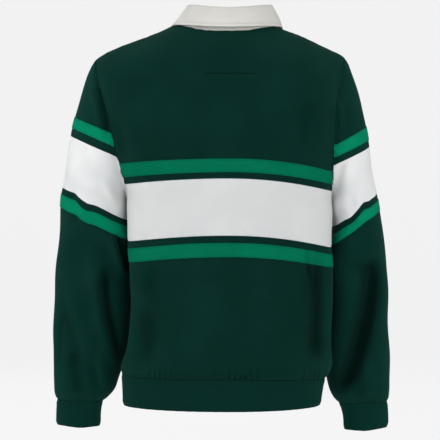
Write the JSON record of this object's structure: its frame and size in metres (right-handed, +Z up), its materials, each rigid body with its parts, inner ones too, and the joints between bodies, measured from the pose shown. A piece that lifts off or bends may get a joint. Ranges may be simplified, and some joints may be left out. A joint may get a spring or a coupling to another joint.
{
  "type": "sweatshirt",
  "caption": "Long-sleeved sweatshirt with a turned-down collar, ribbed hem and cuffs, a wide pale band and edge stripes, filled out as worn and hollow, open at neck, hem and cuffs.",
  "frame": {"origin": "middle of the neck, level with the points where the shoulder seams meet the neck seam", "axes": "+Z up along the wearer's spine, +X to the wearer's left, -Y to the wearer's front"},
  "size_m": [0.6061, 0.2582, 0.7644],
  "materials": {
    "dark_green": "matt fleece knit",
    "bright_green": "matt knit tape",
    "white_band": "matt fleece knit",
    "collar_white": "woven cotton twill",
    "button": "satin"
  },
  "bodies": {
    "root": {"back_band": "white_band", "back_lower": "dark_green", "back_lower_tape": "bright_green", "back_upper": "dark_green", "back_upper_tape": "bright_green", "button_1": "button", "button_2": "button", "button_3": "button", "collar_leaf": "collar_white", "collar_stand": "collar_white", "front_band": "white_band", "front_lower": "dark_green", "front_lower_tape": "bright_green", "front_upper": "dark_green", "front_upper_tape": "bright_green", "hem_rib": "dark_green", "left_cuff": "dark_green", "left_sleeve_band": "white_band", "left_sleeve_head": "dark_green", "left_sleeve_lower": "dark_green", "left_sleeve_lower_tape": "bright_green", "left_sleeve_upper_tape": "bright_green", "placket": "collar_white", "right_cuff": "dark_green", "right_sleeve_band": "white_band", "right_sleeve_head": "dark_green", "right_sleeve_lower": "dark_green", "right_sleeve_lower_tape": "bright_green", "right_sleeve_upper_tape": "bright_green"}
  },
  "joints": []
}
